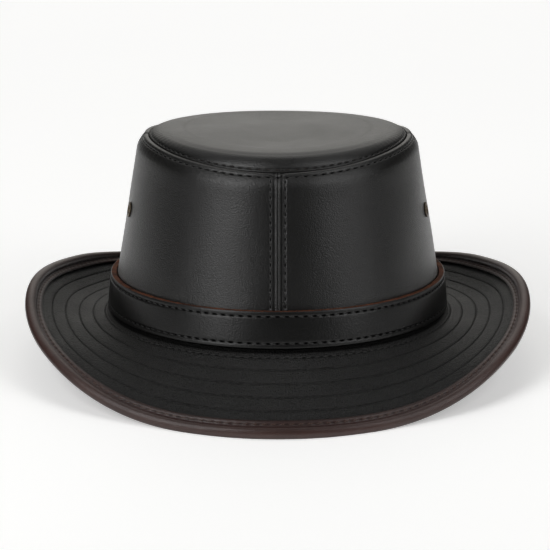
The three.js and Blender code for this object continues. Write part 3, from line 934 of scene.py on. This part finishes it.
level = np.zeros(BRIM_STEPS)
margin = WIDTH_FRONT - BINDING_MARGIN
shares = np.concatenate([row + QUILT_STEPS for row in range(QUILT_ROWS)] + [QUILT_ROWS + STEPS_PAST_QUILT])
out_rows = np.append(shares * QUILT_SPACING, margin + STEPS_AT_MARGIN)
top_distance = column(out_rows) + level
root_phase = row_phase(brim_rings(brim_turn, column([ROOT_ROW]), column([0]))[0], ROOT_PITCH)
top_height = quilted(top_distance) + sewn_row(top_distance - ROOT_ROW, root_phase[:-1], depth=0.0006)
tucked = np.clip((top_distance - margin + TUCK) / TUCK, 0, 1)
top_height = top_height * (1 - tucked) + TUCKED_HEIGHT * tucked
under_rows = column(np.append(shares[::3] * QUILT_SPACING, margin)) + level
under_height = UNDERSIDE - UNDERSIDE_PUFF * (quilted(under_rows) - QUILT_LOW)
under_height[-1] = UNDERSIDE
brim_edge = (brim_width(brim_turn) - EDGE_INSET)[None]
under_all = np.concatenate([under_rows, brim_edge])
brim_under = brim_rings(brim_turn, under_all, np.concatenate([under_height, level[None] + UNDERSIDE]))
top_all = np.concatenate([top_distance, brim_edge])
brim_top = brim_rings(brim_turn, top_all, np.concatenate([top_height, level[None] + TUCKED_HEIGHT]))
collar_profile = COLLAR_FOLD + [(height, PIECE_GAP + COLLAR_THICKNESS) for height in COLLAR_HEIGHTS]
collar_profile += [(COLLAR_TOP, PIECE_GAP), (COLLAR_BOTTOM, PIECE_GAP)]
collar = np.stack([oval(brim_turn, **wall_oval(height, grow)) for height, grow in collar_profile])
brim_loop = np.concatenate([brim_under, brim_top[::-1], collar])
first_top = len(brim_under) + len(brim_top) - 1
# Painted shade: the needle holes of the root row, and the whole collar above its fold, in the recess behind
# the band, are darkened in colour and shine.
brim_painted_shade = np.zeros(brim_loop.shape[:2])
brim_painted_shade[len(brim_under):first_top + 1] = needle_holes(top_all - ROOT_ROW, root_phase[:-1])[::-1]
brim_painted_shade[first_top + len(COLLAR_FOLD):] = 1
brim = leather_tube("brim_leather", brim_loop, closed=True, painted_shade=brim_painted_shade)
brim_finish = leather_finish(
    "matt black buffed leather", dark=(0.0012, 0.0012, 0.0012), light=(0.009, 0.0088, 0.0083),
    worn=(0.03, 0.028, 0.026), grain=0.0009, depth=0.00055, gloss=(0.36, 0.53), sheen_level=0.33,
    flecks=1.1,
)
brim.data.materials.append(brim_finish)
set_down(brim, BINDING_LEATHER + 2 * PIECE_GAP)
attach(brim, "root")
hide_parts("brim")

brim_normals = outward_normals(brim_loop)
root_row = first_top - int(np.argmin(np.abs(out_rows - ROOT_ROW)))
root_line = along_line(brim_loop[root_row], brim_normals[root_row], root_phase)
brim_lines = []
for seam in range(1, QUILT_ROWS + 1):
    above = first_top - int(np.argmin(np.abs(out_rows - seam * QUILT_SPACING)))
    below = int(np.argmin(np.abs(under_rows[:, 0] - seam * QUILT_SPACING)))
    for row in (above, below):
        phase = row_phase(brim_loop[row], QUILT_PITCH)
        brim_lines.append(along_line(brim_loop[row], brim_normals[row], phase))
matt_thread = thread_finish(
    "matt black thread", dark=(0.014, 0.014, 0.0138), light=(0.04, 0.039, 0.038), roughness=0.7,
    sheen_level=0.3,
)
brim_stitches = sew(
    "brim_stitches", brim_lines, length=0.0034, thread=0.00028, slant=math.radians(5), finish=matt_thread
)
root_stitches = sew(
    "root_stitches", [root_line], length=0.0028, thread=0.00035, slant=math.radians(8), finish=matt_thread
)
for stitches in (brim_stitches, root_stitches):
    set_down(stitches, LEAST_OVER_TABLE)
    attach(stitches, "root")


# Brim binding
# A strip of thinner dark brown leather folded over the brim's edge, padded so that it rounds over, and
# sewn through near its inner edge, where the stitches gather it into small ribs.
BINDING_STEPS = 1152
# The binding's profile, in from the brim's edge and above the middle of its leather
BINDING_SECTION = [
    (0.009, -0.0033), (0.0036, -0.0034), (0.0011, -0.0026), (0.0, -0.0006), (0.001, 0.0015),
    (0.0034, 0.0025), (0.0049, 0.002), (0.006, 0.001), (0.0068, 0.0014), (0.009, 0.0015),
]
EDGE_POINT = 3
RUBBED_POINT = 4
BINDING_INSIDE = [(0.009, 0.0008), (0.0012, 0.0008), (0.0012, -0.0024), (0.009, -0.0024)]
BINDING_ROW = 0.0068
BINDING_PITCH = 0.0047
BINDING_ROWS = 64
RIB_HEIGHT = 0.00005
RIB_WIDTH = 0.0018
RIB_SHARE_BELOW = 0.25
BINDING_HOLE_SHADE = 0.5
INNER_SHADE = 0.36
INNER_SHADE_START = 0.0073
INNER_SHADE_GROWTH = 0.0012
BINDING_WEAR = 0.002

binding_turn = np.arange(BINDING_STEPS) * math.tau / BINDING_STEPS
insets, lifts = (np.array(values) for values in zip(*BINDING_SECTION))
section_run = profile_run(insets, lifts)
at = np.linspace(0, section_run[-1], BINDING_ROWS)
inset = column(smooth_curve(at, section_run, insets))
lift = column(smooth_curve(at, section_run, lifts))
on_top = (column(at) > section_run[EDGE_POINT]) * 1.0
edge_line = brim_rings(binding_turn, brim_width(binding_turn)[None], column([0]))[0]
binding_row_phase = row_phase(edge_line, BINDING_PITCH)
binding_phase = binding_row_phase[:-1]
ribs = swelling(inset - BINDING_ROW, RIB_HEIGHT, 0, RIB_WIDTH)
ribs *= RIB_SHARE_BELOW + (1 - RIB_SHARE_BELOW) * on_top
binding_relief = ribs * np.cos(binding_phase) + sewn_row(inset - BINDING_ROW, binding_phase, depth=0.0005)
# Painted shade on the binding's top inward of its row of stitches, and in its needle holes.
inner_shade = INNER_SHADE * on_top * np.clip((inset - INNER_SHADE_START) / INNER_SHADE_GROWTH, 0, 1)
binding_painted_shade = BINDING_HOLE_SHADE * needle_holes(inset - BINDING_ROW, binding_phase)
binding_painted_shade = np.maximum(binding_painted_shade, inner_shade)
binding_wear = swelling(column(at), 1, section_run[RUBBED_POINT], BINDING_WEAR) + 0 * binding_turn
binding_outer = brim_rings(binding_turn, brim_width(binding_turn) - inset, lift)
binding_outer = binding_outer + outward_normals(binding_outer) * binding_relief[:, :, None]
binding_normals = outward_normals(binding_outer)
inner_inset, inner_lift = (column(values) for values in zip(*BINDING_INSIDE))
binding_inner = brim_rings(binding_turn, brim_width(binding_turn) - inner_inset, inner_lift)
unmarked = 0 * binding_inner[:, :, 0]
binding = leather_tube(
    "brim_binding_leather", np.concatenate([binding_outer, binding_inner]), closed=True,
    wear=np.concatenate([binding_wear, unmarked]), painted_shade=np.concatenate([binding_painted_shade, unmarked]),
)
binding_finish = leather_finish(
    "dark brown binding leather", dark=(0.013, 0.0044, 0.0037), light=(0.043, 0.0175, 0.014),
    worn=(0.066, 0.034, 0.028), grain=0.0009, depth=0.0001, gloss=(0.3, 0.43), sheen_level=0.5,
)
binding.data.materials.append(binding_finish)
set_down(binding, 0.0)
for vertex, row in zip(binding.data.vertices, rows_of(binding)):
    if row >= BINDING_ROWS:
        vertex.co.z = max(vertex.co.z, BINDING_LEATHER)
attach(binding, "root")
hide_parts("brim_binding")

binding_lines = []
for half in (slice(0, BINDING_ROWS // 2), slice(BINDING_ROWS // 2, BINDING_ROWS)):
    row = half.start + int(np.argmin(np.abs(inset[half, 0] - BINDING_ROW)))
    binding_lines.append(along_line(binding_outer[row], binding_normals[row], binding_row_phase))
brown_thread = thread_finish(
    "dark brown waxed thread", dark=(0.03, 0.014, 0.011), light=(0.11, 0.065, 0.05), roughness=0.5,
    sheen_level=0.4,
)
binding_stitches = sew(
    "binding_stitches", binding_lines, length=0.003, thread=0.00032, slant=math.radians(8),
    finish=brown_thread,
)
set_down(binding_stitches, LEAST_OVER_TABLE)
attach(binding_stitches, "root")


# Table
# A seamless sheet of white opal acrylic, matt, which carries on past the picture on all sides. A strip of
# it that runs from front to back under the hat glows in its own material, more strongly towards the back:
# painted light, which keeps the shadows there pale.
TABLE_SIZE = 12
NEAR_GLOW = 0.33
FAR_GLOW = 0.52
GLOW_GROWS = (-0.3, 0.9)
STRIP_HALF_WIDTH = 0.235
STRIP_FADE = 0.2
STRIP_MIDDLE = 0.3
STRIP_HALF_LENGTH = 0.68
bpy.ops.mesh.primitive_plane_add(size=TABLE_SIZE, location=(0, 0, 0))
table = bpy.context.object
table.name = "table"
opal, tree, shader, place = new_finish("white table top")
where = new_node(tree, "ShaderNodeSeparateXYZ", place)
fades = []
for axis, middle, half in (("X", 0, STRIP_HALF_WIDTH), ("Y", STRIP_MIDDLE, STRIP_HALF_LENGTH)):
    distance = math_node(tree, "ABSOLUTE", math_node(tree, "SUBTRACT", where.outputs[axis], middle))
    fades.append(map_range(
        tree, distance, half, half + STRIP_FADE, 1.0, 0.0, interpolation_type="SMOOTHSTEP"
    ))
glow = map_range(tree, where.outputs["Y"], *GLOW_GROWS, NEAR_GLOW, FAR_GLOW)
feed(shader, {
    "Base Color": blend(tree, noise(tree, place, 3.0, 2.0), (0.86, 0.86, 0.855), (0.9, 0.9, 0.897)),
    "Roughness": 0.9,
    "Specular IOR Level": 0.1,
    "Emission Color": (1, 1, 0.997, 1),
    "Emission Strength": math_node(tree, "MULTIPLY", math_node(tree, "MULTIPLY", *fades), glow),
})
table.data.materials.append(opal)


# Light
# A dark studio with a bright, slightly warm opening straight behind the hat, one large soft light overhead
# and behind, and a soft light at each side, which give the two broad gleams on the front of the crown.
FRONT_GLOW = 0.045
BACK_GLOW = 0.84
OPENING_FADE = (0.05, 0.44)
BACK_FADE = (0.0, 0.5)
world = bpy.data.worlds.new("studio")
bpy.context.scene.world = world
world.use_nodes = True
sky = world.node_tree
direction = new_node(sky, "ShaderNodeTexCoord").outputs["Generated"]
parts = new_node(sky, "ShaderNodeSeparateXYZ", direction)
opening = map_range(
    sky, math_node(sky, "ABSOLUTE", parts.outputs["X"]), *OPENING_FADE, BACK_GLOW, FRONT_GLOW,
    interpolation_type="SMOOTHSTEP",
)
glow = map_range(
    sky, parts.outputs["Y"], *BACK_FADE, FRONT_GLOW, opening, interpolation_type="SMOOTHSTEP"
)
feed(sky.nodes["Background"], {"Color": (1, 0.98, 0.93, 1), "Strength": glow})


def soft_light(name, place, target, width, depth, watts):
    bpy.ops.object.light_add(type="AREA", location=place)
    lamp = bpy.context.object
    lamp.name = name
    lamp.data.shape = "RECTANGLE"
    lamp.data.size = width
    lamp.data.size_y = depth
    lamp.data.energy = watts
    lamp.rotation_euler = (Vector(target) - Vector(place)).to_track_quat("-Z", "Y").to_euler()


soft_light("overhead", (0, 1.6, 2.4), (0, 1.6, 0), width=4.4, depth=2.2, watts=16)
soft_light("front_left", (-1.09, -0.96, 1.12), (0, 0, 0.07), width=0.8, depth=1.65, watts=17.5)
soft_light("front_right", (1.29, -0.67, 1.12), (0, 0, 0.07), width=0.8, depth=1.65, watts=11)


# Camera
# In front of the hat at a little over a metre, looking down at it by eighteen degrees, with a long lens
# that flattens its shape.
CAMERA_PLACE = (0, -1.20775, 0.4275)
CAMERA_PITCH = math.radians(17.98)
CAMERA_LENS = 154.4
CAMERA_SENSOR = 36
CAMERA_SHIFT = -0.005
bpy.ops.object.camera_add(location=CAMERA_PLACE, rotation=(math.pi / 2 - CAMERA_PITCH, 0, 0))
camera = bpy.context.object
camera.data.lens = CAMERA_LENS
camera.data.sensor_width = CAMERA_SENSOR
camera.data.shift_x = CAMERA_SHIFT
bpy.context.scene.camera = camera
bpy.context.scene.view_settings.view_transform = "Standard"
